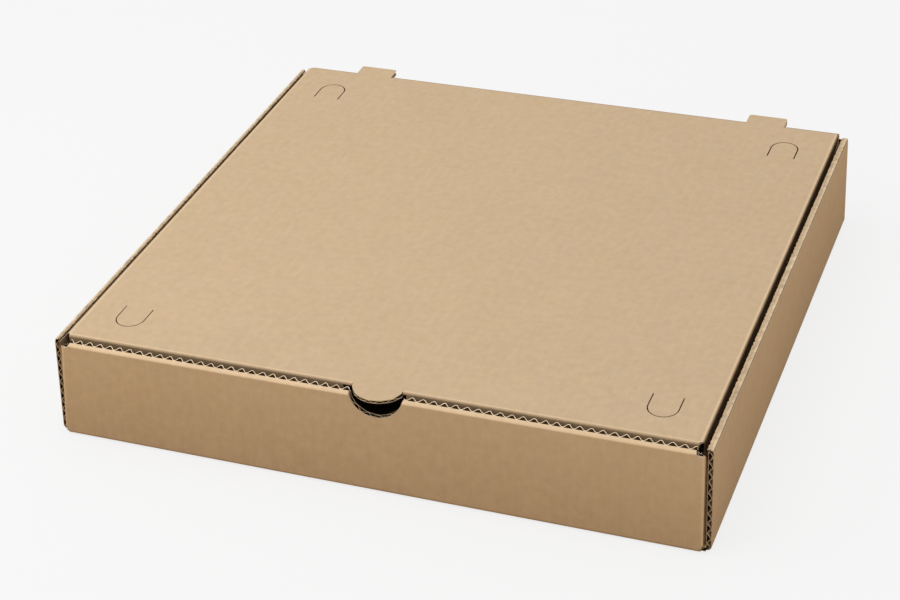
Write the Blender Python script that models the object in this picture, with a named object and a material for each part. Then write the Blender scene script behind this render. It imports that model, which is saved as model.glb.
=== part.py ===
# Pizza box folded from one die-cut sheet of B flute board, shown closed.
# Metres, +Z up. The origin is under the middle of the box and its rear tabs, on the table.
# Every panel is drawn as the outer face of the sheet, and the board's thickness grows inward.
# The flutes run from front to rear in the flat sheet, so they stand upright in the front wall.

import math

import bmesh
import bpy
from mathutils import Matrix, Vector

# Board
board = 0.003               # thickness
liner = 0.00035             # the flat paper on each face
medium = 0.00032            # the wavy paper between
flute_pitch = 0.0059
flute_crest = 0.0007        # width of a flute's channel at its crest
flute_show = 0.004          # how deep the channels are open at a cut edge
crease = 0.0034             # outside radius of a fold
crease_steps = 5
crease_land = 0.0006        # flat strip below the rear fold
round_steps = 8             # facets of each quarter turn in a cut outline
small_steps = 4             # facets of a small rounded corner

# Box
width = 0.360               # over the two side walls
depth = 0.342               # over the front and rear walls
height = 0.058              # side walls and lid
front_drop = 0.0005         # front wall below the lid
side_front_setback = 0.0040
side_rear_setback = 0.0060

# Clearances
flap_clearance = 0.0010     # corner flap to side wall
ear_clearance = 0.0024      # lid ear to side wall
tuck_clearance = 0.0026     # tuck flap to front wall as it swings
crease_seam = 0.0003        # between the lid's rear fold and the rear wall
base_clearance = 0.0015     # corner flap to base
knife = 0.0004              # width of a cut that removes no board

# Corner flaps, turned in from the front and rear walls
corner_flap = 0.045         # length
corner_foot = 0.003         # chamfer at the free end
front_flap_drop = 0.0110    # upper edge below the lid, near the front wall
front_flap_fall = 0.0160    # how far that edge falls to the free end
rear_flap_angle = math.radians(36)

# Corner reliefs of the front wall
relief_radius = 0.0027
relief_inset = 0.0020
relief_rise = 0.0003
relief_steps = 3

# Thumb notch of the front wall
notch_x = 0.004
notch_width = 0.030
notch_depth = 0.0115

# Lid
tuck_depth = 0.034
tuck_taper = 0.006
tuck_round = 0.005
ear_depth = 0.040
ear_angle = math.radians(30)
ear_shoulder = 0.0035       # above the front corner flap
ear_gap = 0.005             # behind the front corner flap
ear_round = 0.006
lid_relief = 0.0010
tongue_width = 0.0272
tongue_reach = 0.0074
thumb_hole_depth = 0.0165   # in the tuck flap, behind the notch

# Rear tabs, cut from the rear wall and left in the lid's plane
tab_inset = 0.051           # a tab's middle from the outside of its side wall
tab_width = 0.0236
tab_reach = 0.0085
tab_round = 0.0018
vent_clearance = 0.0005

# U cuts in the lid
cut_front_margin = 0.017    # from the lid's front fold
cut_rear_margin = 0.021     # from the lid's rear fold
cut_inset = 0.0266          # from the lid's side folds
cut_radius = 0.008
cut_leg = 0.012

# The die rolls the outer liner inward along the tops of the walls
front_press_height = 0.0028
front_press_reach = 0.0015
side_press_height = 0.0018
side_press_reach = 0.0025
roll_steps = 3

# Shared places
front_y = -(depth + tab_reach) / 2
rear_y = front_y + depth
front_height = height - front_drop
corner_x = width / 2 - board - flap_clearance
lid_x = width / 2 - board - ear_clearance
swing_reach = depth - board - tuck_clearance
lid_front_y = rear_y - math.sqrt(swing_reach ** 2 - tuck_depth ** 2)
wall_top = height - crease
flap_foot = board + base_clearance
tab_x = width / 2 - tab_inset
tab_left = tab_x - tab_width / 2
tab_right = tab_x + tab_width / 2


def arc(center, radius, start, end, steps=round_steps):
    # Points of an arc in a plane, from angle start to angle end
    points = []
    for step in range(steps + 1):
        turn = start + (end - start) * step / steps
        points.append((center[0] + radius * math.cos(turn), center[1] + radius * math.sin(turn)))
    return points


def scallop(middle, span, reach):
    # An arc over a straight span, from its right end to its left end, that hangs below it
    radius = (span ** 2 / 4 + reach ** 2) / (2 * reach)
    half = math.asin(min(1.0, span / 2 / radius))
    if reach > span / 2:
        half = math.pi - half
    center = (middle[0], middle[1] + radius - reach)
    return arc(center, radius, -math.pi / 2 + half, -math.pi / 2 - half, 2 * round_steps)


def softened(points, radius, steps=small_steps):
    # An open outline whose inner points are rounded
    rounded = [Vector(points[0])]
    for before, corner, after in zip(points, points[1:], points[2:]):
        corner = Vector(corner)
        to_before = Vector(before) - corner
        to_after = Vector(after) - corner
        half = to_before.angle(to_after) / 2
        run = min(radius / math.tan(half), to_before.length / 2, to_after.length / 2)
        start = corner + to_before.normalized() * run
        end = corner + to_after.normalized() * run
        for step in range(steps + 1):
            share = step / steps
            rounded.append(start * (1 - share) ** 2 + corner * 2 * share * (1 - share) + end * share ** 2)
    rounded.append(Vector(points[-1]))
    return [tuple(point) for point in rounded]


def mirrored(points):
    # The same outline on the other side of the box, in the opposite order
    return [(-first, second) for first, second in reversed(points)]


def swapped(points):
    return [(second, first) for first, second in points]


def on_front(points, y):
    return [Vector((x, y, z)) for x, z in points]


def on_side(points, x):
    return [Vector((x, y, z)) for y, z in points]


def on_top(points, z):
    return [Vector((x, y, z)) for x, y in points]


class Sheet:
    # The outer face of the sheet, panel by panel

    def __init__(self):
        self.mesh = bmesh.new()

    def corner(self, point):
        # A corner that a panel shares with a fold is one vertex
        for vert in self.mesh.verts:
            if (vert.co - point).length < 1e-6:
                return vert
        return self.mesh.verts.new(point)

    def panel(self, points):
        self.mesh.faces.new([self.corner(point) for point in points])

    def fold(self, start, end, center, axis):
        # A quarter turn of board that starts along the edge from start to end
        ends = (self.corner(start), self.corner(end))
        edge = self.mesh.edges.get(ends) or self.mesh.edges.new(ends)
        bmesh.ops.spin(
            self.mesh, geom=[edge], cent=center, axis=axis, dvec=(0, 0, 0), angle=math.pi / 2,
            steps=crease_steps, use_merge=False, use_duplicate=False)

    def finish(self, name, outward, color):
        # outward is the direction that the first panel faces
        bmesh.ops.recalc_face_normals(self.mesh, faces=self.mesh.faces)
        self.mesh.faces.ensure_lookup_table()
        if self.mesh.faces[0].normal.dot(outward) < 0:
            bmesh.ops.reverse_faces(self.mesh, faces=self.mesh.faces)
        item = linked(name, self.mesh)
        item.data.materials.append(kraft(name, color))
        grown = item.modifiers.new("Board", "SOLIDIFY")
        grown.thickness = board
        grown.offset = -1
        grown.use_even_offset = True
        return item


def linked(name, mesh):
    data = bpy.data.meshes.new(name)
    mesh.to_mesh(data)
    mesh.free()
    item = bpy.data.objects.new(name, data)
    bpy.context.collection.objects.link(item)
    return item


def kraft(name, color):
    material = bpy.data.materials.new(name + "_kraft")
    material.use_nodes = True
    shader = material.node_tree.nodes["Principled BSDF"]
    shader.inputs["Base Color"].default_value = (*color, 1.0)
    shader.inputs["Roughness"].default_value = 0.9
    shader.inputs["Metallic"].default_value = 0.0
    return material


def prism(mesh, points, travel):
    # A closed solid between an outline in space and its copy, moved by travel
    face = mesh.faces.new([mesh.verts.new(point) for point in points])
    grown = bmesh.ops.extrude_face_region(mesh, geom=[face])
    moved = [item for item in grown["geom"] if isinstance(item, bmesh.types.BMVert)]
    bmesh.ops.translate(mesh, vec=travel, verts=moved)


def cut_away(item, name, mesh):
    bmesh.ops.recalc_face_normals(mesh, faces=mesh.faces)
    cutter = linked(item.name + "_" + name, mesh)
    cutter.hide_render = True
    cutter.display_type = "WIRE"
    cut = item.modifiers.new(name, "BOOLEAN")
    cut.object = cutter
    cut.operation = "DIFFERENCE"
    cut.solver = "EXACT"


def crossings(outline, first):
    # Where a closed outline crosses the line at the given first coordinate
    found = []
    for start, end in zip(outline, outline[1:] + outline[:1]):
        if (start[0] - first) * (end[0] - first) < 0:
            share = (first - start[0]) / (end[0] - start[0])
            found.append(start[1] + share * (end[1] - start[1]))
    return sorted(found)


def flute_channels(mesh, outline, place, end, spans, near=liner):
    # The open ends of the flutes along one cut edge of a panel.
    # The outline's second coordinate runs along the flutes, and end is -1 or 1 for its low or
    # high edge. place turns (across the flutes, along them, into the board) into a point.
    far = board - liner
    crest = flute_crest / 2
    foot = flute_pitch / 2 - medium / 2 - crest
    for start, stop in spans:
        count = int((stop - start) / flute_pitch * 2)
        for step in range(count - 1):
            middle = (start + stop) / 2 + (step - (count - 2) / 2) * flute_pitch / 2
            edges = [crossings(outline, middle + side * foot) for side in (-1, -0.5, 0, 0.5, 1)]
            if not all(edges):
                continue
            if end > 0:
                edge = min(found[-1] for found in edges)
                over = max(found[-1] for found in edges) + board
            else:
                edge = max(found[0] for found in edges)
                over = min(found[0] for found in edges) - board
            floor = edge - end * flute_show
            wide, narrow = (near, far - medium) if step % 2 == 0 else (far, near + medium)
            section = [(-foot, wide), (foot, wide), (crest, narrow), (-crest, narrow)]
            points = [Vector(place(middle + across, floor, into)) for across, into in section]
            top = Vector(place(middle, over, wide)) - Vector(place(middle, floor, wide))
            prism(mesh, points, top)


# Tray: base, side walls, front and rear walls, and the flaps that turn in at the corners

flat_front = front_y + crease
flat_rear = rear_y - crease
flat_side = width / 2 - crease
side_front = front_y + side_front_setback
side_rear = rear_y - side_rear_setback
fold_x = corner_x - crease
foot_x = corner_x - crease / 3
vent_left = tab_left - vent_clearance
vent_right = tab_right + vent_clearance
vent_floor = height - math.hypot(tab_reach, board) - vent_clearance
rear_top = wall_top - crease_land - crease_seam
relief_x = corner_x - relief_inset
relief_start = relief_x - math.sqrt(relief_radius ** 2 - relief_rise ** 2)
notch_left = notch_x - notch_width / 2
notch_right = notch_x + notch_width / 2
front_flap_top = height - front_flap_drop
front_flap_slope = front_flap_fall / (corner_flap - corner_foot - board)


def relief_height(x):
    # Upper edge of the front wall inside the corner relief
    across = min(abs(x - relief_x), relief_radius)
    return min(front_height, front_height + relief_rise - math.sqrt(relief_radius ** 2 - across ** 2))


def front_flap_outline():
    free = flat_front + corner_flap
    end_top = front_flap_top - front_flap_fall
    return [
        (flat_front, flap_foot),
        (free - corner_foot, flap_foot),
        (free, flap_foot + corner_foot),
        (free, end_top - corner_foot),
        (free - corner_foot, end_top),
        (flat_front + board, front_flap_top),
        (flat_front, relief_height(corner_x)),
    ]


def rear_flap_outline():
    free = flat_rear - corner_flap
    slope = math.tan(rear_flap_angle)
    slope_start = flat_rear - board
    return [
        (flat_rear, height - slope * (rear_y - slope_start)),
        (slope_start, height - slope * (rear_y - slope_start)),
        (free + corner_foot, height - slope * (rear_y - free - corner_foot)),
        (free, height - slope * (rear_y - free) - corner_foot),
        (free, flap_foot + corner_foot),
        (free + corner_foot, flap_foot),
        (flat_rear, flap_foot),
    ]


def side_outline():
    return [(side_front, crease), (side_rear, crease), (side_rear, height), (side_front, height)]


def front_outline():
    # The thumb notch, and the curved reliefs at the upper corners
    relief = []
    for step in range(relief_steps + 1):
        x = relief_start + (fold_x - relief_start) * step / relief_steps
        relief.append((x, relief_height(x)))
    right_edge = [
        (foot_x, crease), (foot_x, crease + knife), (fold_x, crease + knife), (fold_x, flap_foot)]
    right = right_edge + list(reversed(relief))
    notch = scallop((notch_x, front_height), notch_width, notch_depth)
    return right + notch + mirrored(right)


def rear_outline():
    # A vent notch is left where each rear tab was cut out
    vent = softened(
        [(vent_right, rear_top), (vent_right, vent_floor), (vent_left, vent_floor), (vent_left, rear_top)],
        tab_round)
    right_edge = [
        (foot_x, crease), (foot_x, crease + knife), (fold_x, crease + knife), (fold_x, flap_foot),
        (fold_x, rear_flap_outline()[0][1]), (fold_x, rear_top)]
    half = right_edge + vent
    return half + mirrored(half)


def base_outline():
    right = [
        (foot_x, flat_front),
        (flat_side, flat_front),
        (flat_side, side_front),
        (flat_side, side_rear),
        (flat_side, flat_rear),
        (foot_x, flat_rear),
    ]
    return right + mirrored(right)


def tray_sheet():
    sheet = Sheet()
    sheet.panel(on_top(base_outline(), 0.0))
    for side in (1, -1):
        sheet.fold(
            Vector((side * flat_side, side_front, 0)), Vector((side * flat_side, side_rear, 0)),
            (side * flat_side, 0, crease), (0, -side, 0))
        sheet.panel(on_side(side_outline(), side * width / 2))
    for y, turn in ((flat_front, -1), (flat_rear, 1)):
        sheet.fold(Vector((-foot_x, y, 0)), Vector((foot_x, y, 0)), (0, y, crease), (turn, 0, 0))
    sheet.panel(on_front(front_outline(), front_y))
    sheet.panel(on_front(rear_outline(), rear_y))

    front_top = relief_height(fold_x)
    rear_flap_top = rear_flap_outline()[0][1]
    for side in (1, -1):
        sheet.fold(
            Vector((side * fold_x, front_y, flap_foot)), Vector((side * fold_x, front_y, front_top)),
            (side * fold_x, flat_front, 0), (0, 0, side))
        for vert in sheet.mesh.verts:
            turned = vert.co.y < flat_front + 1e-6 and side * vert.co.x > fold_x + 1e-6
            if turned and abs(vert.co.z - front_top) < 1e-6:
                vert.co.z = relief_height(abs(vert.co.x))
        sheet.panel(on_side(front_flap_outline(), side * corner_x))
        sheet.fold(
            Vector((side * fold_x, rear_y, flap_foot)), Vector((side * fold_x, rear_y, rear_flap_top)),
            (side * fold_x, flat_rear, 0), (0, 0, -side))
        sheet.panel(on_side(rear_flap_outline(), side * corner_x))
    return sheet.finish("tray", Vector((0, 0, -1)), (0.40, 0.26, 0.14))


def pressed_tops():
    # The rolled shoulders along the tops of the front and side walls
    mesh = bmesh.new()

    def shoulder(reach, drop):
        # Distance inward and height of the roll, whose last facet runs on above the wall
        turns = [math.pi / 2 * step / roll_steps for step in range(roll_steps + 1)]
        roll = [Vector((reach * (1 - math.cos(turn)), drop * (math.sin(turn) - 1))) for turn in turns]
        roll[-1] += (roll[-1] - roll[-2]) / 2
        return [(-board, -drop)] + roll + [(reach + board, board), (-board, board)]

    front = [Vector((-relief_start, front_y + into, front_height + up))
             for into, up in shoulder(front_press_reach, front_press_height)]
    prism(mesh, front, Vector((2 * relief_start, 0, 0)))
    for side in (1, -1):
        wall = [Vector((side * (width / 2 - into), side_front - board, height + up))
                for into, up in shoulder(side_press_reach, side_press_height)]
        prism(mesh, wall, Vector((0, side_rear - side_front + 2 * board, 0)))
    return mesh


def tray_flutes():
    mesh = bmesh.new()
    # Upper edge of the front wall, on both sides of the notch and inside it
    near = front_press_reach + liner
    flute_channels(
        mesh, front_outline(), lambda x, z, into: (x, front_y + into, z), 1,
        [(-relief_start, notch_left), (notch_right, relief_start)], near)
    flute_channels(
        mesh, front_outline(), lambda x, z, into: (x, front_y + into, z), 1,
        [(notch_left + board / 2, notch_right - board / 2)])
    # Floors of the vent notches
    flute_channels(
        mesh, rear_outline(), lambda x, z, into: (x, rear_y - into, z), 1,
        [(vent_left, vent_right), (-vent_right, -vent_left)])
    # Front and rear ends of the side walls, and the upper edges of the corner flaps
    top = height - side_press_height
    for side in (1, -1):
        for end in (1, -1):
            flute_channels(
                mesh, swapped(side_outline()),
                lambda z, y, into: (side * (width / 2 - into), y, z), end, [(crease, top)])
        for flap, y, turn in ((front_flap_outline(), flat_front, 1), (rear_flap_outline(), flat_rear, -1)):
            span = sorted((y + turn * board, y + turn * (corner_flap - corner_foot)))
            flute_channels(
                mesh, flap, lambda y, z, into: (side * (corner_x - into), y, z), 1, [span])
    return mesh


# Lid: top panel, tuck flap, ears, thumb tongue and rear tabs

flat_lid_x = lid_x - crease
flat_lid_front = lid_front_y + crease
ear_front = flat_lid_front + lid_relief
ear_rear = flat_rear - lid_relief
tuck_edge = flat_lid_x - lid_relief
half_tongue = tongue_width / 2


def ear_outline():
    # From the fold's rear end, under the lid and forward to its front end
    drop = math.tan(ear_angle)
    flap_free = flat_front + corner_flap
    shoulder = front_flap_top + ear_shoulder - front_flap_slope * (ear_front - flat_front - board)
    front_low = front_flap_top - front_flap_fall + ear_shoulder
    foot = height - ear_depth
    cut = softened([
        (rear_y - (height - wall_top) / drop, wall_top),
        (rear_y - ear_depth / drop, foot),
        (flap_free + ear_gap, foot),
        (flap_free + ear_gap / 2, front_low),
        (ear_front + lid_relief, shoulder),
    ], ear_round)
    return [(ear_rear, wall_top)] + cut + [(ear_front, wall_top)]


def tuck_outline():
    # Closed below the fold, open behind the thumb notch
    foot = height - tuck_depth
    ends = softened([
        (tuck_edge, wall_top), (tuck_edge - tuck_taper, foot),
        (-tuck_edge + tuck_taper, foot), (-tuck_edge, wall_top)], tuck_round)
    hole = scallop((notch_x, wall_top), tongue_width + 2 * knife, thumb_hole_depth - crease)
    return ends + list(reversed(hole))


def top_outline():
    tongue = scallop((notch_x, flat_lid_front), tongue_width, tongue_reach)
    bite = arc((flat_lid_x, flat_lid_front), lid_relief, math.pi, math.pi / 2, small_steps)
    tab = softened([
        (tab_right, flat_rear), (tab_right, rear_y + tab_reach),
        (tab_left, rear_y + tab_reach), (tab_left, flat_rear)], tab_round)
    right = bite + [(flat_lid_x, ear_rear), (flat_lid_x, flat_rear), (tab_right + knife, flat_rear)]
    right += tab + [(tab_left - knife, flat_rear)]
    tongue_side = half_tongue + knife
    front = [(notch_x - tongue_side, flat_lid_front)] + list(reversed(tongue))
    front.append((notch_x + tongue_side, flat_lid_front))
    return front + right + mirrored(right)


def lid_sheet():
    sheet = Sheet()
    sheet.panel(on_top(top_outline(), height))

    # Rear fold, which carries on into the rear wall of the tray
    inner = tab_left - knife
    outer = tab_right + knife
    for start, end in ((-flat_lid_x, -outer), (-inner, inner), (outer, flat_lid_x)):
        sheet.fold(
            Vector((start, flat_rear, height)), Vector((end, flat_rear, height)),
            (0, flat_rear, wall_top), (-1, 0, 0))
        land_foot = wall_top - crease_land
        land = [(start, wall_top), (start, land_foot), (end, land_foot), (end, wall_top)]
        sheet.panel(on_front(land, rear_y))

    # Front fold and tuck flap
    hole_left = notch_x - half_tongue - knife
    hole_right = notch_x + half_tongue + knife
    for start, end in ((-tuck_edge, hole_left), (hole_right, tuck_edge)):
        sheet.fold(
            Vector((start, flat_lid_front, height)), Vector((end, flat_lid_front, height)),
            (0, flat_lid_front, wall_top), (1, 0, 0))
    sheet.panel(on_front(tuck_outline(), lid_front_y))

    # Side folds and ears
    for side in (1, -1):
        sheet.fold(
            Vector((side * flat_lid_x, ear_front, height)), Vector((side * flat_lid_x, ear_rear, height)),
            (side * flat_lid_x, 0, wall_top), (0, side, 0))
        sheet.panel(on_side(ear_outline(), side * lid_x))
    return sheet.finish("lid", Vector((0, 0, 1)), (0.56, 0.40, 0.24))


def u_cuts():
    # Four U cuts, their arcs towards the front and rear folds
    mesh = bmesh.new()
    outer = cut_radius + knife / 2
    inner = cut_radius - knife / 2
    for side in (1, -1):
        for toward, edge_y in ((1, rear_y - cut_rear_margin), (-1, lid_front_y + cut_front_margin)):
            x = side * (lid_x - cut_inset)
            y = edge_y - toward * cut_radius
            leg_y = y - toward * cut_leg
            outline = arc((x, y), outer, 0, math.pi * toward, 2 * round_steps)
            outline += [(x - outer, leg_y), (x - inner, leg_y)]
            outline += arc((x, y), inner, math.pi * toward, 0, 2 * round_steps)
            outline += [(x + inner, leg_y), (x + outer, leg_y)]
            prism(mesh, on_top(outline, height - 2 * board), Vector((0, 0, 3 * board)))
    return mesh


def lid_flutes():
    mesh = bmesh.new()

    def flat(x, y, into):
        return x, y, height - into

    flute_channels(mesh, top_outline(), flat, -1, [(notch_x - half_tongue, notch_x + half_tongue)])
    flute_channels(mesh, top_outline(), flat, 1, [(tab_left, tab_right), (-tab_right, -tab_left)])
    straight = tuck_edge - tuck_taper - tuck_round
    flute_channels(
        mesh, tuck_outline(), lambda x, z, into: (x, lid_front_y + into, z), -1, [(-straight, straight)])
    for side in (1, -1):
        for end in (1, -1):
            flute_channels(
                mesh, swapped(ear_outline()), lambda z, y, into: (side * (lid_x - into), y, z), end,
                [(height - ear_depth + liner, wall_top - board)])
    return mesh


for item in list(bpy.data.objects):
    bpy.data.objects.remove(item)

tray = tray_sheet()
cut_away(tray, "pressed_tops", pressed_tops())
cut_away(tray, "flutes", tray_flutes())

lid = lid_sheet()
cut_away(lid, "u_cuts", u_cuts())
cut_away(lid, "flutes", lid_flutes())

# The lid turns on the outer edge line of the rear fold
lid.data.transform(Matrix.Translation((0, -rear_y, -height)))
lid.location = (0, rear_y, height)
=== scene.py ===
import math

import bmesh
import bpy
from mathutils import Matrix, Vector, noise


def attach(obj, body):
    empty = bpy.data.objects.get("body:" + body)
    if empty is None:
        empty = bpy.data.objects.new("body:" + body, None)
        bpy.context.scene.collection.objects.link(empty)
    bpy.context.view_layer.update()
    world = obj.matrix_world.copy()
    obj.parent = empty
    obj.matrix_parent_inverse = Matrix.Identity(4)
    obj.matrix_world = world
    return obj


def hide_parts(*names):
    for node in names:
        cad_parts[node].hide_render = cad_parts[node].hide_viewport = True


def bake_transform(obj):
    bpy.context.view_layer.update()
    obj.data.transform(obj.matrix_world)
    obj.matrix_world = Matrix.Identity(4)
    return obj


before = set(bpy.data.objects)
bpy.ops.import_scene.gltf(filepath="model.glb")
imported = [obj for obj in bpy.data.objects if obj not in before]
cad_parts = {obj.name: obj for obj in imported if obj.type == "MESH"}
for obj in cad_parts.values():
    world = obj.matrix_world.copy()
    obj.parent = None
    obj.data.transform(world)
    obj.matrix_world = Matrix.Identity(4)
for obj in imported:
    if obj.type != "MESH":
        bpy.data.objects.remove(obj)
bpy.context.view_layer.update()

# The board is drawn as the flat blank, paper by paper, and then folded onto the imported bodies.
# A blank's coordinates are X across the flutes, Y along them and Z into the board, in mm.
mm = 0.001

board = {"thick": 3.0, "liner": 0.4, "medium": 0.31, "flute": 5.9, "crease": 2.7, "lidCrease": 1.1,
         "flapCrease": 0.9, "bends": 10, "slit": 0.4, "pinch": 0.1, "sharp": 0.6}
box = {"width": 360, "depth": 342, "height": 58, "frontHeight": 57.5, "tabReach": 8.5}

# Folded walls don't stand quite upright: in at the sides, over to one side, back at the front
traySet = {"taper": 1.9, "lean": 0.9, "foot": 0.8, "back": 3.8, "twist": 1.3}
lidSet = {"taper": 1.6, "lean": -0.3, "foot": 0.0, "back": 4.25, "twist": 0.75}

thick, liner = board["thick"], board["liner"]
hair = 0.01                                              # places this close count as one
quarter = board["crease"] * math.pi / 2                  # outer paper round one fold
lidQuarter = board["lidCrease"] * math.pi / 2
flapQuarter = board["flapCrease"] * math.pi / 2
frontY = -(box["depth"] + box["tabReach"]) / 2
rearY = frontY + box["depth"]
flatFront = frontY + board["crease"]
flatRear = rearY - board["crease"]
flatSide = box["width"] / 2 - board["crease"]
lidWallTop = box["height"] - board["lidCrease"]

print("kraft paper")


def nodeGroup(name, inputs, outputs):
    group = bpy.data.node_groups.new(name, "ShaderNodeTree")
    for label, kind, value in inputs:
        socket = group.interface.new_socket(label, in_out="INPUT", socket_type=kind)
        if value is not None:
            socket.default_value = value
    for label, kind in outputs:
        group.interface.new_socket(label, in_out="OUTPUT", socket_type=kind)
    return group, group.nodes.new("NodeGroupInput"), group.nodes.new("NodeGroupOutput")


def addNode(tree, kind, links=None, **settings):
    # links: input name or number to a value or to an output of another node
    node = tree.nodes.new(kind)
    for key, value in settings.items():
        setattr(node, key, value)
    for key, value in (links or {}).items():
        if isinstance(value, bpy.types.NodeSocket):
            tree.links.new(value, node.inputs[key])
        else:
            node.inputs[key].default_value = value
    return node


def spread(tree, value, fromLow, fromHigh, toLow, toHigh):
    # A value's range stretched onto another, and held inside it
    node = addNode(tree, "ShaderNodeMapRange", {0: value, 1: fromLow, 2: fromHigh, 3: toLow, 4: toHigh})
    return node.outputs[0]


def mathOf(tree, operation, first, second):
    return addNode(tree, "ShaderNodeMath", {0: first, 1: second}, operation=operation).outputs[0]


def swayed(tree, texture, reach, amount):
    # The middle of a noise's range as a sway about nothing, times an amount
    sway = spread(tree, texture.outputs[0], 0.3, 0.7, -reach, reach)
    return mathOf(tree, "MULTIPLY", sway, amount)


def multiplied(tree, color, other):
    return addNode(tree, "ShaderNodeVectorMath", {0: color, 1: other}, operation="MULTIPLY").outputs[0]


def mixed(tree, share, first, second):
    return addNode(tree, "ShaderNodeMix", {0: share, 6: first, 7: second}, data_type="RGBA").outputs[2]


wavesPerTurn = 2 * math.pi / 20                          # what the wave texture calls one wave
grain = {"clouds": 26.0, "patches": 210.0, "warmth": 95.0, "streaks": 520.0, "fibres": 210.0, "drawn": 0.16,
         "darkest": 0.04, "warmTint": (1.003, 0.998, 0.985, 1), "coolTint": (0.998, 1.003, 1.02, 1),
         "paintedShadeTint": (1, 0.82, 0.62, 1)}


def paperGroup():
    # Mottled recycled paper: soft clouds, patches, fibres and the faint washboard of the flutes, with painted shade
    # and painted highlight from the crease attribute
    group, given, made = nodeGroup("kraftPaper", [
        ("Tone", "NodeSocketColor", (0.6, 0.45, 0.29, 1)),
        ("Clouds", "NodeSocketFloat", 0.014),
        ("Patches", "NodeSocketFloat", 0.048),
        ("Fibres", "NodeSocketFloat", 0.09),
        ("Washboard Shade", "NodeSocketFloat", 0.005),
        ("Painted Shade", "NodeSocketFloat", 0.5),
    ], [("Color", "NodeSocketColor"), ("Roughness", "NodeSocketFloat"), ("Height", "NodeSocketFloat")])
    place = addNode(group, "ShaderNodeTexCoord").outputs["Object"]
    sheet = addNode(group, "ShaderNodeUVMap", uv_map="sheet").outputs["UV"]
    # The crease attribute holds painted shade for folds, gaps and slots, and painted highlight where it is below
    # nothing
    crease = addNode(group, "ShaderNodeAttribute", attribute_name="crease").outputs["Fac"]
    clouds = addNode(group, "ShaderNodeTexNoise", {"Vector": place, "Scale": grain["clouds"], "Detail": 3.0})
    patches = addNode(group, "ShaderNodeTexNoise", {
        "Vector": place, "Scale": grain["patches"], "Detail": 4.0, "Roughness": 0.6})
    warmth = addNode(group, "ShaderNodeTexNoise", {"Vector": place, "Scale": grain["warmth"], "Detail": 2.0})
    along = addNode(group, "ShaderNodeMapping", {"Vector": sheet, "Scale": (1.0, grain["drawn"], 1.0)})
    streaks = addNode(group, "ShaderNodeTexNoise", {
        "Vector": along.outputs[0], "Scale": grain["streaks"], "Detail": 3.0})
    turned = addNode(group, "ShaderNodeMapping", {"Vector": place, "Rotation": (0.4, 0.2, 0.7)})
    fibres = addNode(group, "ShaderNodeTexNoise", {
        "Vector": turned.outputs[0], "Scale": grain["fibres"], "Detail": 5.0, "Roughness": 0.55, "Distortion": 1.2},
        noise_type="RIDGED_MULTIFRACTAL", normalize=True)
    thin = spread(group, fibres.outputs[0], 0.62, 0.95, 0.0, 1.0)
    # The washboard relief of the flutes is painted as faint bands of shade and light in the colour, not given as
    # bumps
    waves = addNode(group, "ShaderNodeTexWave", {
        "Vector": sheet, "Scale": wavesPerTurn / board["flute"] / mm, "Distortion": 0.0}, bands_direction="X")
    flute = spread(group, waves.outputs["Fac"], 0.0, 1.0, -1.0, 1.0)
    patch = swayed(group, patches, 1.0, given.outputs["Patches"])
    fibre = mathOf(group, "MULTIPLY", thin, given.outputs["Fibres"])
    paintedShadeAmount = mathOf(group, "MULTIPLY", crease, given.outputs["Painted Shade"])
    total = swayed(group, clouds, 1.0, given.outputs["Clouds"])
    for operation, amount in (
            ("ADD", patch),
            ("ADD", swayed(group, streaks, 0.4, given.outputs["Patches"])),
            ("SUBTRACT", fibre),
            ("ADD", mathOf(group, "MULTIPLY", flute, given.outputs["Washboard Shade"])),
            ("SUBTRACT", paintedShadeAmount)):
        total = mathOf(group, operation, total, amount)
    level = mathOf(group, "MAXIMUM", mathOf(group, "ADD", total, 1.0), grain["darkest"])
    shaded = addNode(group, "ShaderNodeVectorMath", {0: given.outputs["Tone"], "Scale": level}, operation="SCALE")
    warm = spread(group, warmth.outputs[0], 0.35, 0.65, 0.0, 1.0)
    tinted = multiplied(group, shaded.outputs[0], mixed(group, warm, grain["warmTint"], grain["coolTint"]))
    # Painted shade is tinted warm brown as it darkens
    tinted = multiplied(group, tinted, mixed(group, paintedShadeAmount, (1, 1, 1, 1), grain["paintedShadeTint"]))
    rough = spread(group, patches.outputs[0], 0.3, 0.7, 0.86, 0.96)
    height = mathOf(group, "ADD", patch, mathOf(group, "MULTIPLY", fibre, 0.5))
    group.links.new(tinted, made.inputs["Color"])
    group.links.new(rough, made.inputs["Roughness"])
    group.links.new(height, made.inputs["Height"])
    return group


kraftPaper = paperGroup()


def paper(name, tone, **amounts):
    material = bpy.data.materials.new(name)
    material.use_nodes = True
    tree = material.node_tree
    shader = tree.nodes["Principled BSDF"]
    look = tree.nodes.new("ShaderNodeGroup")
    look.node_tree = kraftPaper
    look.inputs["Tone"].default_value = (*tone, 1)
    for label, value in amounts.items():
        look.inputs[label].default_value = value
    bump = addNode(tree, "ShaderNodeBump", {
        "Height": look.outputs["Height"], "Strength": 0.5, "Distance": 0.0003})
    tree.links.new(look.outputs["Color"], shader.inputs["Base Color"])
    tree.links.new(look.outputs["Roughness"], shader.inputs["Roughness"])
    tree.links.new(bump.outputs[0], shader.inputs["Normal"])
    shader.inputs["Specular IOR Level"].default_value = 0.12
    return material


papers = {"outer": 0, "inner": 1, "flutes": 2, "cut": 3, "crushed": 4}
kraftPapers = [  # in the order of their numbers
    paper("outerKraft", (0.600, 0.440, 0.276)),
    paper("innerKraft", (0.560, 0.405, 0.250)),
    # The faces inside the flute channels are painted near black, as painted shade deep in the flutes
    paper("paintedFluteShade", (0.038, 0.021, 0.011)),
    paper("cutKraft", (0.740, 0.580, 0.390), Patches=0.25),
    paper("crushedKraft", (0.560, 0.405, 0.250), Patches=0.20, Fibres=0.20),
]


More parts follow.
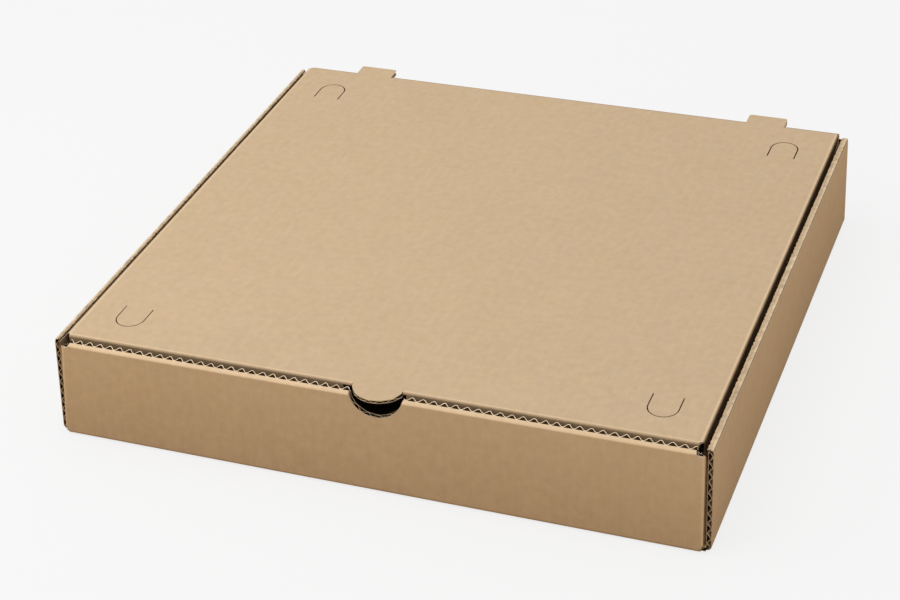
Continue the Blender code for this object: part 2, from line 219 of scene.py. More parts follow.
def drawn(name, flat, materials=kraftPapers):
    # The object of a bmesh, which is used up
    data = bpy.data.meshes.new(name)
    flat.to_mesh(data)
    flat.free()
    for material in materials:
        data.materials.append(material)
    item = bpy.data.objects.new(name, data)
    bpy.context.collection.objects.link(item)
    return item


print("outlines of the blank")

trayCut = {
    "sideFront": 4.0, "sideRear": 6.0, "sideSlant": 1.3, "footX": 174.867,
    "flapX": 176.6, "flap": 45, "flapFoot": 4.5, "flapCorner": 3, "flapShoulder": 3,
    "frontFlapRoot": 55.2, "frontFlapTop": 47, "frontFlapEnd": 31, "rearFlapAngle": 36,
    "leftFold": 1.5, "leftFoldFrom": 168, "leftFoldOver": 8,
    "reliefX": 174.0, "reliefRadius": 2.7, "reliefRise": 0.3, "reliefEnd": 1.78, "rollEnd": 171.7,
    "notchX": 4.5, "notchWidth": 30, "notchDepth": 12.2,
    "ventLeft": 116.7, "ventRight": 141.3, "ventFloor": 48.486, "rearTop": 53.7,
}
lidCut = {
    "x": 174.6, "frontY": -167.93, "tuck": 34, "tuckTaper": 6, "tuckRound": 5, "relief": 1.0,
    "ear": 40, "earAngle": 30, "earShoulder": 3.5, "earGap": 5, "earRound": 6,
    "tongueWidth": 27.2, "tongueRoot": 1.5, "tongueReach": 8.9, "holeWidth": 35, "thumbHole": 18.5,
    "tabLeft": 117.2, "tabRight": 140.8, "tabRound": 1.8,
    "cutFront": 16.5, "cutRear": 21.5, "cutInset": 26.6, "cutRadius": 8.0, "cutLeg": 11, "cutSlit": 0.65,
    "tongueThin": 0.45, "tongueDroop": 0.9, "tongueOver": 6, "holeShift": -1.5, "rearInset": 1, "rearSlit": 1.2,
}
sideFront = frontY + trayCut["sideFront"]
sideRear = rearY - trayCut["sideRear"]
sideEdge = flatSide + quarter + box["height"] - board["crease"]
flapStart = trayCut["flapX"] - board["flapCrease"]
flatLidX = lidCut["x"] - board["lidCrease"]
flatLidFront = lidCut["frontY"] + board["lidCrease"]
earFront = flatLidFront + lidCut["relief"]
earRear = flatRear - lidCut["relief"]
tuckEdge = flatLidX - lidCut["relief"]
halfTongue = lidCut["tongueWidth"] / 2
tabRoot = rearY - 3                                      # where a rear tab leaves the lid


def arc(center, radius, start, end, steps):
    turns = [start + (end - start) * step / steps for step in range(steps + 1)]
    return [(center[0] + radius * math.cos(turn), center[1] + radius * math.sin(turn)) for turn in turns]


def scallop(middle, span, reach, steps=24):
    # An arc below a straight span, from right to left
    radius = (span ** 2 / 4 + reach ** 2) / (2 * reach)
    half = math.asin(min(1, span / 2 / radius))
    if reach > span / 2:
        half = math.pi - half
    center = (middle[0], middle[1] + radius - reach)
    return arc(center, radius, -math.pi / 2 + half, -math.pi / 2 - half, steps)


def softened(points, radius, steps=5):
    rounded = [Vector(points[0])]
    for before, corner, after in zip(points, points[1:], points[2:]):
        corner = Vector(corner)
        toBefore = Vector(before) - corner
        toAfter = Vector(after) - corner
        run = min(radius / math.tan(toBefore.angle(toAfter) / 2), toBefore.length / 2, toAfter.length / 2)
        start = corner + toBefore.normalized() * run
        end = corner + toAfter.normalized() * run
        for step in range(steps + 1):
            share = step / steps
            rounded.append(start * (1 - share) ** 2 + corner * 2 * share * (1 - share) + end * share ** 2)
    return [tuple(point) for point in rounded + [Vector(points[-1])]]


def mirrored(points):
    return [(-x, y) for x, y in reversed(points)]


# Places on the flat blank of a point of the folded box
def onFront(points):
    return [(x, flatFront - quarter - (z - board["crease"])) for x, z in points]


def onRear(points):
    return [(x, flatRear + quarter + (z - board["crease"])) for x, z in points]


def onTuck(points):
    return [(x, flatLidFront - lidQuarter - (lidWallTop - z)) for x, z in points]


def trayOutline():
    cut = trayCut
    flapRun = flapStart + flapQuarter - board["flapCrease"]
    crease = board["crease"]
    slanted = lambda into: box["height"] - math.tan(math.radians(cut["rearFlapAngle"])) * into
    notch = onFront(scallop((cut["notchX"], box["frontHeight"]), cut["notchWidth"], cut["notchDepth"]))
    spanStart = cut["reliefX"] - math.sqrt(cut["reliefRadius"] ** 2 - cut["reliefRise"] ** 2)
    relief = arc((cut["reliefX"], box["frontHeight"] + cut["reliefRise"]), cut["reliefRadius"],
                 math.pi + math.asin(cut["reliefRise"] / cut["reliefRadius"]), cut["reliefEnd"] * math.pi, 10)
    relief[0] = (spanStart, box["frontHeight"])
    fold, foot, corner = board["flapCrease"], cut["flapFoot"], cut["flapCorner"]
    shoulder, free = crease + cut["flapShoulder"], crease + cut["flap"]
    frontFlap = [  # depth behind the front, height
        (fold, cut["frontFlapRoot"]), (shoulder, cut["frontFlapTop"]), (free - corner, cut["frontFlapEnd"]),
        (free, cut["frontFlapEnd"] - corner), (free, foot + corner), (free - corner, foot), (fold, foot)]
    frontSide = relief + [(flapRun + into, z) for into, z in frontFlap]
    footCut = [(flapStart, foot), (flapStart, crease + board["slit"]),
               (cut["footX"], crease + board["slit"]), (cut["footX"], crease)]
    side = [(cut["footX"], flatFront), (flatSide, flatFront), (flatSide, sideFront),
            (sideEdge, sideFront - cut["sideSlant"]), (sideEdge, sideRear),
            (flatSide, sideRear), (flatSide, flatRear), (cut["footX"], flatRear)]
    rearFlap = [(fold, foot), (free - corner, foot), (free, foot + corner), (free, slanted(free) - corner),
                (free - corner, slanted(free - corner)), (shoulder, slanted(shoulder)), (fold, slanted(shoulder))]
    rearSide = list(reversed(footCut)) + [(flapRun + into, z) for into, z in rearFlap]
    rearSide += [(flapStart, slanted(shoulder)), (flapStart, cut["rearTop"])]
    vent = softened([(cut["ventRight"], cut["rearTop"]), (cut["ventRight"], cut["ventFloor"]),
                     (cut["ventLeft"], cut["ventFloor"]), (cut["ventLeft"], cut["rearTop"])], lidCut["tabRound"])
    right = onFront(frontSide + footCut) + side + onRear(rearSide + vent)
    # The notch is cut from the right end to the left, so it closes the ring
    return [right + mirrored(right) + list(reversed(notch))]


def lidOutlines():
    cut = lidCut
    slit = board["slit"]
    root = (trayCut["notchX"], flatLidFront - cut["tongueRoot"])
    tongue = scallop(root, cut["tongueWidth"], cut["tongueReach"])
    bite = arc((flatLidX, flatLidFront), cut["relief"], math.pi, math.pi / 2, 4)
    tab = softened([(cut["tabRight"], flatRear), (cut["tabRight"], rearY + box["tabReach"]),
                    (cut["tabLeft"], rearY + box["tabReach"]), (cut["tabLeft"], flatRear)], cut["tabRound"])
    drop = math.tan(math.radians(cut["earAngle"]))
    flapFree = flatFront + trayCut["flap"]
    slope = (trayCut["frontFlapTop"] - trayCut["frontFlapEnd"]) / (trayCut["flap"] - 6)
    shoulder = trayCut["frontFlapTop"] + cut["earShoulder"] - slope * (earFront - flatFront - thick)
    foot = box["height"] - cut["ear"]
    ear = softened([
        (rearY - board["crease"] / drop, lidWallTop), (rearY - cut["ear"] / drop, foot),
        (flapFree + cut["earGap"], foot),
        (flapFree + cut["earGap"] / 2, trayCut["frontFlapEnd"] + cut["earShoulder"]),
        (earFront + cut["relief"], shoulder)], cut["earRound"])
    ear = [(earFront, lidWallTop)] + list(reversed(ear)) + [(earRear, lidWallTop)]
    ear = [(flatLidX + lidQuarter + lidWallTop - z, y) for y, z in ear]
    right = bite + [(flatLidX, earFront)] + ear + [(flatLidX, earRear), (flatLidX, flatRear)]
    right += [(cut["tabRight"] + slit, flatRear)] + tab + [(cut["tabLeft"] - slit, flatRear)]
    left, tip = trayCut["notchX"] - halfTongue - slit, trayCut["notchX"] + halfTongue + slit
    top = [(left, flatLidFront), (left + slit, flatLidFront)] + list(reversed(tongue))
    top += [(tip - slit, flatLidFront), (tip, flatLidFront)] + right + mirrored(right)
    foot = box["height"] - cut["tuck"]
    ends = softened([(tuckEdge, lidWallTop), (tuckEdge - cut["tuckTaper"], foot),
                     (cut["tuckTaper"] - tuckEdge, foot), (-tuckEdge, lidWallTop)], cut["tuckRound"])
    above = (trayCut["notchX"] + cut["holeShift"], lidWallTop)
    hole = scallop(above, cut["holeWidth"], cut["thumbHole"] - board["lidCrease"])
    tuck = onTuck(ends + list(reversed(hole)))
    bendEnd = flatLidFront - lidQuarter
    # The strips meet the tuck flap edge to edge, or the trims don't give the same papers each run
    strips = [[(edge, flatLidFront), (end, flatLidFront), (end, bendEnd), (meets, bendEnd), (edge, bendEnd)]
              for edge, end, meets in ((-tuckEdge, left, hole[-1][0]), (tuckEdge, tip, hole[0][0]))]
    return [top, tuck] + strips


def uCutOutlines():
    cut = lidCut
    outlines = []
    for side in (1, -1):
        for toward, edgeY, inset, wider in (
                (1, rearY - cut["cutRear"], cut["rearInset"], cut["rearSlit"]),
                (-1, cut["frontY"] + cut["cutFront"], 0, 1)):
            x = side * (cut["x"] - cut["cutInset"] - inset)
            y = edgeY - toward * cut["cutRadius"]
            slit = cut["cutSlit"] * wider
            outer, inner = cut["cutRadius"] + slit / 2, cut["cutRadius"] - slit / 2
            outline = arc((x, y), outer, 0, math.pi * toward, 16)
            outline += [(x - outer, y - toward * cut["cutLeg"]), (x - inner, y - toward * cut["cutLeg"])]
            outline += arc((x, y), inner, math.pi * toward, 0, 16)
            outline += [(x + inner, y - toward * cut["cutLeg"]), (x + outer, y - toward * cut["cutLeg"])]
            outlines.append(outline)
    return outlines


print("papers of the blank")


def cutSheet(outlines, low, high, lowSide, highSide, rim=papers["cut"]):
    # A flat paper, or a cutter, between two depths of the board
    flat = bmesh.new()
    for outline in outlines:
        flat.faces.new([flat.verts.new((x, y, low)) for x, y in outline])
    bmesh.ops.remove_doubles(flat, verts=flat.verts, dist=0.0001)
    bmesh.ops.recalc_face_normals(flat, faces=flat.faces)
    grown = bmesh.ops.extrude_face_region(flat, geom=list(flat.faces))
    raised = [item for item in grown["geom"] if isinstance(item, bmesh.types.BMVert)]
    bmesh.ops.translate(flat, vec=(0, 0, high - low), verts=raised)
    bmesh.ops.recalc_face_normals(flat, faces=flat.faces)
    flat.normal_update()
    for face in flat.faces:
        face.material_index = rim
        if abs(face.normal.z) > 0.5:
            face.material_index = lowSide if face.normal.z < 0 else highSide
    return flat


ripple = {"columns": 8, "rise": 1.02, "uneven": 0.22, "shift": 0.07, "run": 0.13}


def waveSheet(outlines, reach):
    # The fluted paper: a grid pressed into waves, given its thickness and cut to the outline
    low, high = reach
    count = int((high[0] - low[0]) / board["flute"] * ripple["columns"])
    flat = bmesh.new()
    bmesh.ops.create_grid(flat, x_segments=count, y_segments=1, size=0.5)
    size = Vector((count * board["flute"] / ripple["columns"], high[1] - low[1], 1))
    bmesh.ops.scale(flat, vec=size, verts=flat.verts)
    bmesh.ops.translate(flat, vec=((low[0] + high[0]) / 2, (low[1] + high[1]) / 2, 0), verts=flat.verts)
    swing = thick / 2 - liner - board["medium"] / 2
    for vert in flat.verts:
        uneven = noise.noise((vert.co.x * ripple["run"], 0.5, 0.5))
        turn = math.cos((vert.co.x / board["flute"] + ripple["shift"] * uneven) * 2 * math.pi)
        vert.co.z = thick / 2 + swing * max(-1, min(1, turn * (ripple["rise"] + ripple["uneven"] * uneven)))
    bmesh.ops.recalc_face_normals(flat, faces=flat.faces)
    bmesh.ops.solidify(flat, geom=list(flat.faces), thickness=board["medium"])
    middle = sum((vert.co.z for vert in flat.verts)) / len(flat.verts)
    bmesh.ops.translate(flat, vec=(0, 0, thick / 2 - middle), verts=flat.verts)
    bmesh.ops.recalc_face_normals(flat, faces=flat.faces)
    # All of the fluted paper takes the near-black painted shade of the flute channels
    for face in flat.faces:
        face.material_index = papers["flutes"]
    # Cut a hair short of both liners
    low, high = liner * 1.03, thick - liner * 1.05
    cutter = cutSheet(outlines, low, high, papers["flutes"], papers["flutes"])
    return trimmed(flat, cutter, "INTERSECT")


def trimmed(shape, cutter, operation):
    # Boolean of two meshes, which are used up
    items = [drawn("trimming", source) for source in (shape, cutter)]
    trim = items[0].modifiers.new("trim", "BOOLEAN")
    trim.object = items[1]
    trim.operation = operation
    trim.solver = "EXACT"
    bpy.context.view_layer.update()
    graph = bpy.context.evaluated_depsgraph_get()
    result = bmesh.new()
    result.from_mesh(items[0].evaluated_get(graph).to_mesh())
    for item in items:
        data = item.data
        bpy.data.objects.remove(item)
        bpy.data.meshes.remove(data)
    return result


def scored(flat, axis, places, test=None):
    # Rows of edges across the blank, so that it can bend there
    for place in places:
        faces = [face for face in flat.faces if test is None or test(face.calc_center_bounds())]
        geom = set(faces)
        for face in faces:
            geom.update(face.edges)
            geom.update(face.verts)
        point = [0, 0, 0]
        normal = [0, 0, 0]
        point[axis] = place
        normal[axis] = 1
        bmesh.ops.bisect_plane(flat, geom=list(geom), dist=0.0001, plane_co=point, plane_no=normal)


def steps(start, end, count):
    return [start + (end - start) * step / count for step in range(count + 1)]


def bent(run, depth, crease=board["crease"]):
    # Distance past the end of a flat panel, and depth in the board, to (onward, inward)
    pinch = board["pinch"]
    over = max(0, depth - crease + pinch)                # the inner paper is pinched into a mitre
    around = crease * math.pi / 2
    if run <= -over:
        return run, depth
    if over and run < around + over:
        return -over + pinch, crease + over - pinch
    if run >= around:
        return crease - depth, crease + run - around
    turn = run / crease
    return (crease - depth) * math.sin(turn), crease - (crease - depth) * math.cos(turn)


def settled(x, y, z, lay=traySet):
    high = z / box["height"]
    across = x * 2 / box["width"]
    forward = max(0, (rearY - y) / box["depth"])
    back = lay["foot"] + (lay["back"] + lay["twist"] * across) * high
    return Vector((x - (across * lay["taper"] - lay["lean"]) * high, y + back * forward, z)) * mm


def foldTray(x, y, depth):
    side = math.copysign(1, x)
    wall = max(flatFront - y, y - flatRear)
    inBase = wall <= hair
    height = wall - quarter + board["crease"]
    if inBase:
        fold = flatSide
    elif height >= trayCut["flapFoot"] - hair:
        fold = flapStart
    else:
        fold = math.inf                                  # below the corner flaps nothing folds
    lowered = 0
    if wall > 0 and y < flatFront and abs(x) < trayCut["rollEnd"]:
        depth, lowered = rolled(depth, box["frontHeight"] - height, roll["front"])
    elif inBase:
        depth, lowered = rolled(depth, sideEdge - abs(x), roll["side"])
        x = side * (abs(x) - lowered)
    across = abs(x)
    if fold < math.inf:
        across, depth = bent(abs(x) - fold, depth, board["crease"] if inBase else board["flapCrease"])
        across += fold
    if inBase:
        return settled(side * across, y, depth)
    onward, inward = bent(wall - lowered, depth)
    along = flatFront - onward if y < flatFront else flatRear + onward
    turnedIn = 0
    if y < flatFront:  # the left corner flap's fold runs inwards on its way up
        share = max(0, min(1, (-x - trayCut["leftFoldFrom"]) / trayCut["leftFoldOver"]))
        turnedIn = trayCut["leftFold"] * height / box["frontHeight"] * share
    return settled(side * across + turnedIn, along, inward)


# How a wall's top gives way: the outer paper in an arc, the rest pushed in and cut on a slant behind it
roll = {
    "front": {"down": 1.7, "into": 2.4, "lower": 0.5, "turn": 80,
              "behind": 8, "push": 2.0, "slant": 1.1, "sunk": 2.0},
    "side": {"down": 2.0, "into": 1.7, "lower": 0.15, "turn": 84,
             "behind": 3, "push": 0.0, "slant": -0.4, "sunk": 1.8},
}


def rolled(depth, below, shape):
    if depth <= liner:
        if below >= shape["down"]:
            return depth, 0
        full = math.radians(shape["turn"])
        turn = (1 - max(0, below) / shape["down"]) * full
        outer = 1 - depth / thick
        into = shape["into"] * (1 - math.cos(turn)) / (1 - math.cos(full))
        rise = (shape["down"] - shape["lower"]) * math.sin(turn) / math.sin(full)
        return depth + into * outer, (shape["down"] - below - rise) * outer
    if below >= shape["behind"]:
        return depth, 0
    share = (1 - max(0, below) / shape["behind"]) ** 2
    back = (depth - liner) / (thick - liner)
    down = shape["lower"] + 0.05 - shape["slant"] * back
    if depth > thick - liner - hair:
        down = shape["sunk"]
    return depth + shape["push"] * share, down * share


def foldLid(x, y, depth):
    side = math.copysign(1, x)
    front, rear = flatLidFront - y, y - flatRear
    tongue = halfTongue + 0.1
    reach = lidCut["tongueReach"]
    radius = ((tongue * 2) ** 2 / 4 + reach ** 2) / (2 * reach)
    fromCenter = math.hypot(x - trayCut["notchX"], front - lidCut["tongueRoot"] + radius - reach)
    across = abs(x - trayCut["notchX"])
    onTongue = front > 0 and across < tongue and (front < lidCut["tongueRoot"] or fromCenter < radius + 0.15)
    if onTongue:
        reached = min(1, front / lidCut["tongueOver"])
        beyond = max(0, depth - liner)
        thinned = depth - beyond * lidCut["tongueThin"] * reached
        return settled(x, y, box["height"] - thinned - lidCut["tongueDroop"] * reached ** 2, lidSet)
    if rear > 0:
        return settled(x, y, box["height"] - depth, lidSet)
    if front <= 0:
        across, depth = bent(abs(x) - flatLidX, depth, board["lidCrease"])
        return settled(side * (across + flatLidX), y, box["height"] - depth, lidSet)
    onward, inward = bent(front, depth, board["lidCrease"])
    return settled(x, flatLidFront - onward, box["height"] - inward, lidSet)


def foldHinge(x, y, depth):
    onward, inward = bent(y - flatRear, depth)
    return settled(x, flatRear + onward, box["height"] - inward)


def keepSheet(flat):
    # The place on the flat blank as a UV map, which the streaks and flutes of the material follow
    sheet = flat.loops.layers.uv.new("sheet")
    for face in flat.faces:
        for loop in face.loops:
            loop[sheet].uv = (loop.vert.co.x * mm, loop.vert.co.y * mm)


def folded(name, parts, place, shadeOf):
    # Joins flat papers into one piece and folds it
    whole = bmesh.new()
    for part in parts:
        data = bpy.data.meshes.new("part")
        part.to_mesh(data)
        part.free()
        whole.from_mesh(data)
        bpy.data.meshes.remove(data)
    keepSheet(whole)
    # Each point keeps its painted shade and highlight in the crease attribute
    crease = whole.verts.layers.float.new("crease")
    for vert in whole.verts:
        vert[crease] = shadeOf(*vert.co)
    for vert in whole.verts:
        vert.co = place(*vert.co)
    bmesh.ops.dissolve_degenerate(whole, edges=whole.edges, dist=1e-6)
    whole.normal_update()
    bmesh.ops.recalc_face_normals(whole, faces=whole.faces)
    for face in whole.faces:
        face.smooth = True
    for edge in whole.edges:
        edge.smooth = len(edge.link_faces) == 2 and edge.calc_face_angle(0) < board["sharp"]
    item = drawn(name, whole)
    print(name, len(item.data.polygons), "faces")
    return item


def near(value, place, reach):
    return max(0.0, 1 - abs(value - place) / reach)


def crushedTop(name, side):
    # The cut along a side wall runs with the flutes, so the die leaves one flattened, ragged strip
    top = {"outer": 1.5, "inner": 3.6 if side > 0 else 2.3, "ragged": 0.5, "rough": 0.13, "thick": 0.7,
           "step": 1.0, "columns": 8, "below": 0.26, "fall": 0.25}
    rows = int((sideRear - sideFront) / top["step"])
    flat = bmesh.new()
    bmesh.ops.create_grid(flat, x_segments=top["columns"], y_segments=rows, size=0.5)
    for vert in flat.verts:
        share = vert.co.x + 0.5
        y = sideFront + (vert.co.y + 0.5) * (sideRear - sideFront)
        torn = noise.noise((y * 0.55, side * 9.0, 0)) + 0.5 * noise.noise((y * 1.9, side * 5.0, 3))
        into = top["outer"] + share * (top["inner"] - top["outer"] + top["ragged"] * torn * share)
        bumps = noise.noise((y * 0.5, share * 3.1, side * 4.0))
        bumps += 0.6 * noise.noise((y * 1.4, share * 5.0, side * 7.0))
        z = box["height"] - top["below"] - top["fall"] * share + top["rough"] * bumps * min(1, 4 * share)
        vert.co = (side * (box["width"] / 2 - into), y, z)
    bmesh.ops.recalc_face_normals(flat, faces=flat.faces)
    if sum(face.normal.z for face in flat.faces) < 0:
        bmesh.ops.reverse_faces(flat, faces=flat.faces)
    grown = bmesh.ops.extrude_face_region(flat, geom=list(flat.faces))
    lowered = [item for item in grown["geom"] if isinstance(item, bmesh.types.BMVert)]
    bmesh.ops.translate(flat, vec=(0, 0, -top["thick"]), verts=lowered)
    keepSheet(flat)
    for face in flat.faces:
        face.material_index = papers["crushed"]
        face.smooth = True
    for vert in flat.verts:
        vert.co = settled(*vert.co)
    bmesh.ops.recalc_face_normals(flat, faces=flat.faces)
    return drawn(name, flat)


# Painted shade and highlight: how much darker the paper is painted at a place of the blank, for the shade in folds,
# gaps and slots; less than nothing is painted highlight along edges that catch the light
paintedLight = {"fold": 0.5, "insideTop": 1.4, "insideReach": 8, "outsideTop": 0.16, "outsideReach": 2.5,
        "flap": 1.5, "flapReach": 12, "edgeHighlight": 0.4, "edgeHighlightAt": -0.3, "edgeHighlightReach": 1.3,
        "rolled": 0.5, "rolledTo": 172, "lidFront": 0.85, "lidSide": 1.7, "lidReach": 9,
        "lidHighlight": 0.5, "lidHighlightReach": 1.1}


def trayShade(x, y, depth):
    wall = max(flatFront - y, y - flatRear)
    if wall <= 0:
        # Along the base folds: painted shade, partly the real darkening of the pressed score
        dark = paintedLight["fold"] * near(abs(x), flatSide + quarter / 2, quarter)
        # Inside the top of the side walls: painted shade, as under the lid; outside, a little painted shade just
        # below the top
        if depth > thick / 2:
            return max(dark, paintedLight["insideTop"] * near(abs(x), sideEdge, paintedLight["insideReach"]))
        return max(dark, paintedLight["outsideTop"] * near(abs(x), sideEdge, paintedLight["outsideReach"]))
    # Along the wall folds: painted shade, partly the real darkening of the pressed score
    dark = paintedLight["fold"] * near(wall, quarter / 2, quarter)
    run = abs(x) - flapStart
    if wall > quarter + 1:
        # Behind the corner flap folds: painted shade, as in the dark slot
        hidden = min(1, max(0, run / flapQuarter - 0.4) * 2.5)
        dark = max(dark, paintedLight["flap"] * hidden * near(run, flapQuarter, paintedLight["flapReach"]))
        if y < flatFront:
            # A painted highlight along the front wall's side edge
            dark -= paintedLight["edgeHighlight"] * near(run, paintedLight["edgeHighlightAt"], paintedLight["edgeHighlightReach"])
    if y < flatFront and abs(x) < paintedLight["rolledTo"]:
        # A painted highlight band along the rolled top of the front wall
        dark -= paintedLight["rolled"] * min(1, max(0, 1 + (frontTop - y + roll["front"]["down"]) / 0.4))
    return dark


def lidCrease(x, y, depth):
    # Painted shade down the lid's front and side folds, where they drop into the gaps beside the walls, and a
    # painted highlight line where each fold begins
    front, side = flatLidFront - y, abs(x) - flatLidX
    runs = [] if abs(x - trayCut["notchX"]) < halfTongue + 0.1 else [(front, paintedLight["lidFront"])]
    if front <= 0:
        runs.append((side, paintedLight["lidSide"]))
    paintedShadeAmount = 0
    for run, most in runs:
        if run > 0:
            faded = min(1, near(run, 2 * lidQuarter, paintedLight["lidReach"]) * 1.6)
            paintedShadeAmount = max(paintedShadeAmount, most * min(1, 1.2 * run / lidQuarter) * faded)
        else:
            paintedShadeAmount -= paintedLight["lidHighlight"] * near(run, paintedLight["edgeHighlightAt"], paintedLight["lidHighlightReach"])
    return paintedShadeAmount


def hingeShade(x, y, depth):
    # Painted shade along the rear fold, partly the real darkening of the pressed score
    return near(y - flatRear, quarter / 2, quarter)


frontTop = onFront([(0, box["frontHeight"])])[0][1]
frontColumns = steps(-168, 168, 14)                      # so that long papers lie smooth


def scoreTray(flat):
    rows = steps(0, quarter, board["bends"])
    scored(flat, 1, [flatFront - run for run in rows] + [flatRear + run for run in rows])
    walls = lambda center: center.y < flatFront - quarter or center.y > flatRear + quarter
    base = lambda center: flatFront < center.y < flatRear
    for side in (1, -1):
        scored(flat, 0, [side * (flatSide + run) for run in rows], base)
        flapRows = [-1.6, -0.9, -0.3] + steps(0, flapQuarter, board["bends"]) + [flapQuarter + 6]
        scored(flat, 0, [side * (flapStart + run) for run in flapRows], walls)
        downs = steps(0, roll["side"]["down"], 6)[1:] + [4, 8]
        scored(flat, 0, [side * (sideEdge - down) for down in downs], base)
    front = lambda center: center.y < flatFront - quarter and abs(center.x) < trayCut["rollEnd"]
    downs = steps(0, roll["front"]["down"] + 0.4, 8)[1:] + [3, 4.2, 5.8, 8]
    scored(flat, 1, [frontTop + down for down in downs], front)
    scored(flat, 0, frontColumns, front)


def scoreLid(flat):
    rows = [-1.4, -0.8, -0.3] + steps(0, lidQuarter, board["bends"])
    rows += [lidQuarter + past for past in (3, 6, 10)]
    scored(flat, 1, [flatLidFront - run for run in rows])
    scored(flat, 0, frontColumns, lambda center: center.y < flatLidFront - lidQuarter)
    root = [trayCut["notchX"] + side * (halfTongue + past) for side in (1, -1) for past in (0, board["slit"])]
    scored(flat, 0, root, lambda center: flatLidFront < center.y < flatLidFront + 1.4)
    top = lambda center: center.y > flatLidFront
    for side in (1, -1):
        scored(flat, 0, [side * (flatLidX + run) for run in rows], top)


print("tray")
outlines = trayOutline()
trayPapers = [
    cutSheet(outlines, 0, liner, papers["outer"], papers["flutes"]),
    cutSheet(outlines, thick - liner, thick, papers["flutes"], papers["inner"]),
    waveSheet(outlines, ((-237, -233), (237, 230))),
]
for flat in trayPapers:
    for face in flat.faces:
        place = face.calc_center_bounds()
        if abs(place.x) > flatSide + board["crease"] and place.y > flatFront:
            frontEnd = face.material_index == papers["cut"] and place.y < sideFront + 1
            if frontEnd or face.material_index == papers["flutes"]:
                face.material_index = papers["crushed"]
    scoreTray(flat)
tray = folded("trayBoard", trayPapers, foldTray, trayShade)
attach(tray, "tray")
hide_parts("tray")
for name, side in (("crushedTopRight", 1), ("crushedTopLeft", -1)):
    strip = crushedTop(name, side)
    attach(strip, "tray")

print("lid")
outlines = lidOutlines()
lidPapers = []
for flat in (
        cutSheet(outlines, 0, liner, papers["outer"], papers["flutes"]),
        cutSheet(outlines, thick - liner, thick, papers["flutes"], papers["inner"]),
        waveSheet(outlines, ((-214, -203), (214, 176)))):
    slits = cutSheet(uCutOutlines(), -1, thick + 1, papers["flutes"], papers["flutes"], papers["crushed"])
    lidPapers.append(trimmed(flat, slits, "DIFFERENCE"))
for flat in lidPapers:
    scored(flat, 1, [tabRoot])
    for face in flat.faces:
        if face.material_index == papers["flutes"] and face.calc_center_bounds().y > tabRoot:
            face.material_index = papers["crushed"]
    scoreLid(flat)
lid = folded("lidBoard", lidPapers, foldLid, lidCrease)
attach(lid, "lid")
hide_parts("lid")

print("rear fold")
inner, outer = lidCut["tabLeft"] - board["slit"], lidCut["tabRight"] + board["slit"]
foldEnd = flatRear + quarter + box["height"] - board["crease"] - trayCut["rearTop"]   # down the rear wall
strips = [[(start, flatRear), (end, flatRear), (end, foldEnd), (start, foldEnd)]
          for start, end in ((-flatLidX, -outer), (-inner, inner), (outer, flatLidX))]
flat = cutSheet(strips, 0, thick, papers["outer"], papers["inner"])
scored(flat, 1, [flatRear + run for run in steps(0, quarter, board["bends"])])
hinge = folded("rearFold", [flat], foldHinge, hingeShade)
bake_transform(hinge)

print("studio")
studio = {"pale": 0.922, "sky": 0.62, "sun": 0.56, "sunTurn": (5, 3), "sunSoft": 60, "floor": 4.0,
          "soft": 2.8, "softSize": 0.8, "softPlace": (-0.5, -0.25, 0.8), "floorDrop": 0.0002, "floorGlow": 0.85,
          "floorSeen": (0.145, 0.145, 0.145, 1), "floorBounce": (0.60, 0.42, 0.22, 1)}


def seenDirectly(tree):
    # 1 for the camera's rays and for gloss, 0 for the light that reaches the box
    ray = addNode(tree, "ShaderNodeLightPath")
    seen = mathOf(tree, "MAXIMUM", ray.outputs["Is Camera Ray"], ray.outputs["Is Glossy Ray"])
    return mathOf(tree, "MAXIMUM", seen, ray.outputs["Is Transmission Ray"])


world = bpy.data.worlds.new("studioSky")
bpy.context.scene.world = world
world.use_nodes = True
tree = world.node_tree
sky = tree.nodes["Background"]
sky.inputs["Color"].default_value = (1, 1, 1, 1)
tree.links.new(spread(tree, seenDirectly(tree), 0, 1, studio["sky"], studio["pale"]), sky.inputs["Strength"])

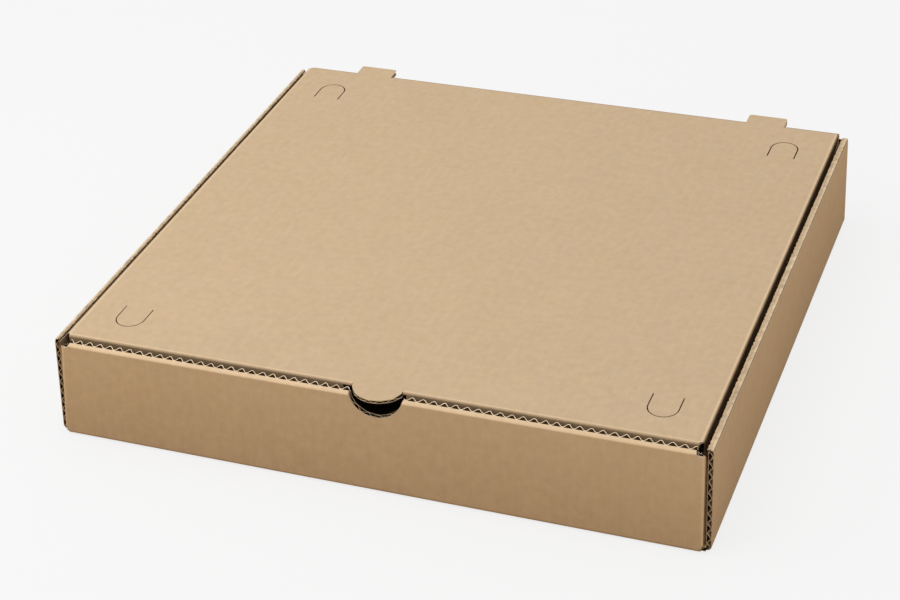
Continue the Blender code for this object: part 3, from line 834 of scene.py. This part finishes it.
sun = bpy.data.objects.new("topLight", bpy.data.lights.new("topLight", "SUN"))
sun.data.energy = studio["sun"]
sun.data.angle = math.radians(studio["sunSoft"])
sun.rotation_euler = [math.radians(turn) for turn in studio["sunTurn"]] + [0]
bpy.context.collection.objects.link(sun)

soft = bpy.data.objects.new("softLight", bpy.data.lights.new("softLight", "AREA"))
soft.data.energy = studio["soft"]
soft.data.size = studio["softSize"]
soft.location = studio["softPlace"]
soft.rotation_euler = Vector(studio["softPlace"]).to_track_quat("Z", "Y").to_euler()
bpy.context.collection.objects.link(soft)

pale = bpy.data.materials.new("paleFloor")
pale.use_nodes = True
flat = bmesh.new()
bmesh.ops.create_circle(flat, cap_ends=True, segments=64, radius=studio["floor"])
floor = drawn("floor", flat, [pale])
floor.location.z = -studio["floorDrop"]
tree = pale.node_tree
seen = seenDirectly(tree)
shader = tree.nodes["Principled BSDF"]
shader.inputs["Emission Color"].default_value = (1, 1, 1, 1)
glow = mathOf(tree, "MULTIPLY", seen, studio["floorGlow"] * studio["pale"])
tone = mixed(tree, seen, studio["floorBounce"], studio["floorSeen"])
tree.links.new(glow, shader.inputs["Emission Strength"])
tree.links.new(tone, shader.inputs["Base Color"])
shader.inputs["Roughness"].default_value = 1.0
shader.inputs["Specular IOR Level"].default_value = 0.0

camera = {"turn": 21.522, "rise": 32.388, "roll": -2.87, "far": 1.2095, "aim": (-0.00786, -0.027, 0.025),
          "lens": 85.7, "sensor": 36}
turn, rise, tip = (math.radians(camera[key]) for key in ("turn", "rise", "roll"))
back = Vector((math.sin(turn) * math.cos(rise), -math.cos(turn) * math.cos(rise), math.sin(rise)))
right = Vector((math.cos(turn), math.sin(turn), 0))
up = back.cross(right)
across = math.cos(tip) * right + math.sin(tip) * up
upward = -math.sin(tip) * right + math.cos(tip) * up
eye = bpy.data.objects.new("camera", bpy.data.cameras.new("camera"))
eye.data.lens = camera["lens"]
eye.data.sensor_width = camera["sensor"]
turned = Matrix((across, upward, back)).transposed().to_4x4()
eye.matrix_world = Matrix.Translation(Vector(camera["aim"]) + back * camera["far"]) @ turned
bpy.context.collection.objects.link(eye)
bpy.context.scene.camera = eye
bpy.context.scene.view_settings.view_transform = "Standard"
